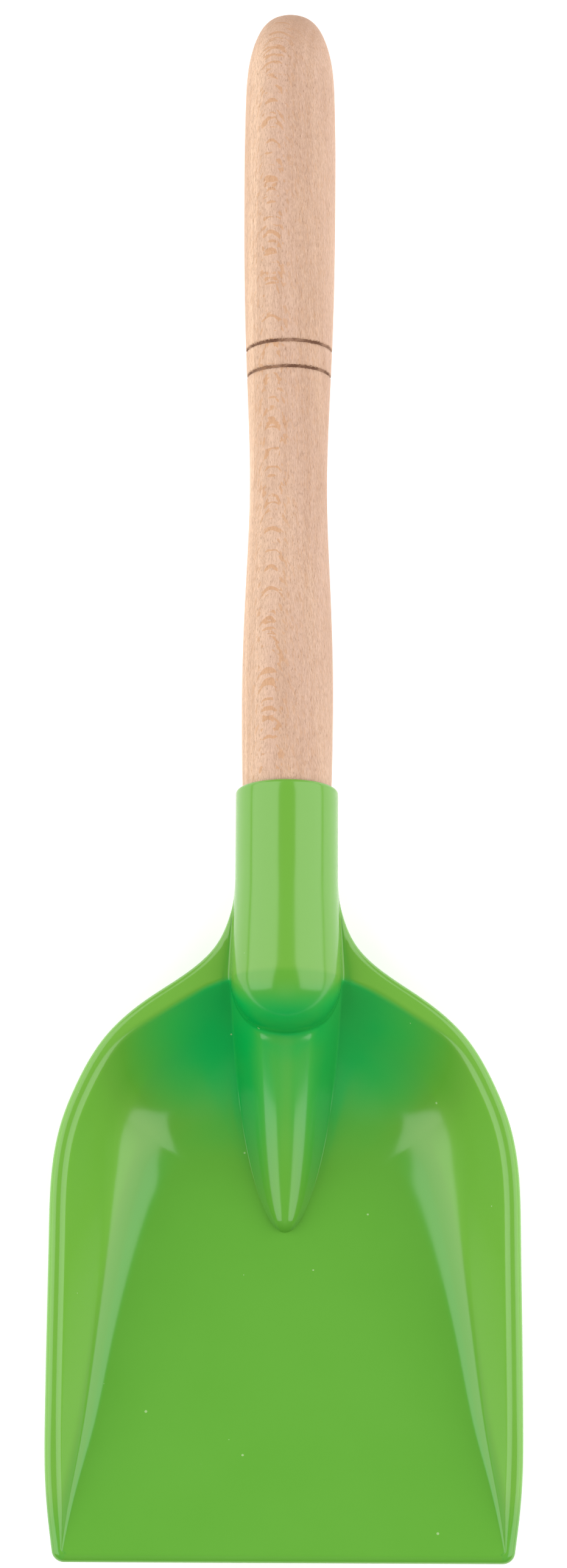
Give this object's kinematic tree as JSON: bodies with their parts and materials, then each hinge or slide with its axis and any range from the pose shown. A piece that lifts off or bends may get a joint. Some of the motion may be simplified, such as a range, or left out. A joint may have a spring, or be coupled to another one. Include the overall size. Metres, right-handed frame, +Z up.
{
  "type": "feed scoop",
  "caption": "Hand scoop with a one-piece moulded square-nosed blade whose socket holds a turned beech handle, fixed from below by a screw.",
  "frame": {"origin": "centre of the bounding box in plan, on the surface that the scoop lies on", "axes": "+Y from the blade's front edge towards the end of the handle, +Z up out of the bowl, +X to the right seen from the front edge, as it lies at rest on its heel and the end of its handle"},
  "size_m": [0.132, 0.4476, 0.0416],
  "materials": {
    "green_polypropylene": "semi-gloss moulded",
    "beech": "turned and sanded, unvarnished",
    "zinc_plated_steel": "zinc plated"
  },
  "bodies": {
    "root": {"scoop_blade": "green_polypropylene", "handle": "beech", "socket_screw": "zinc_plated_steel"}
  },
  "joints": []
}
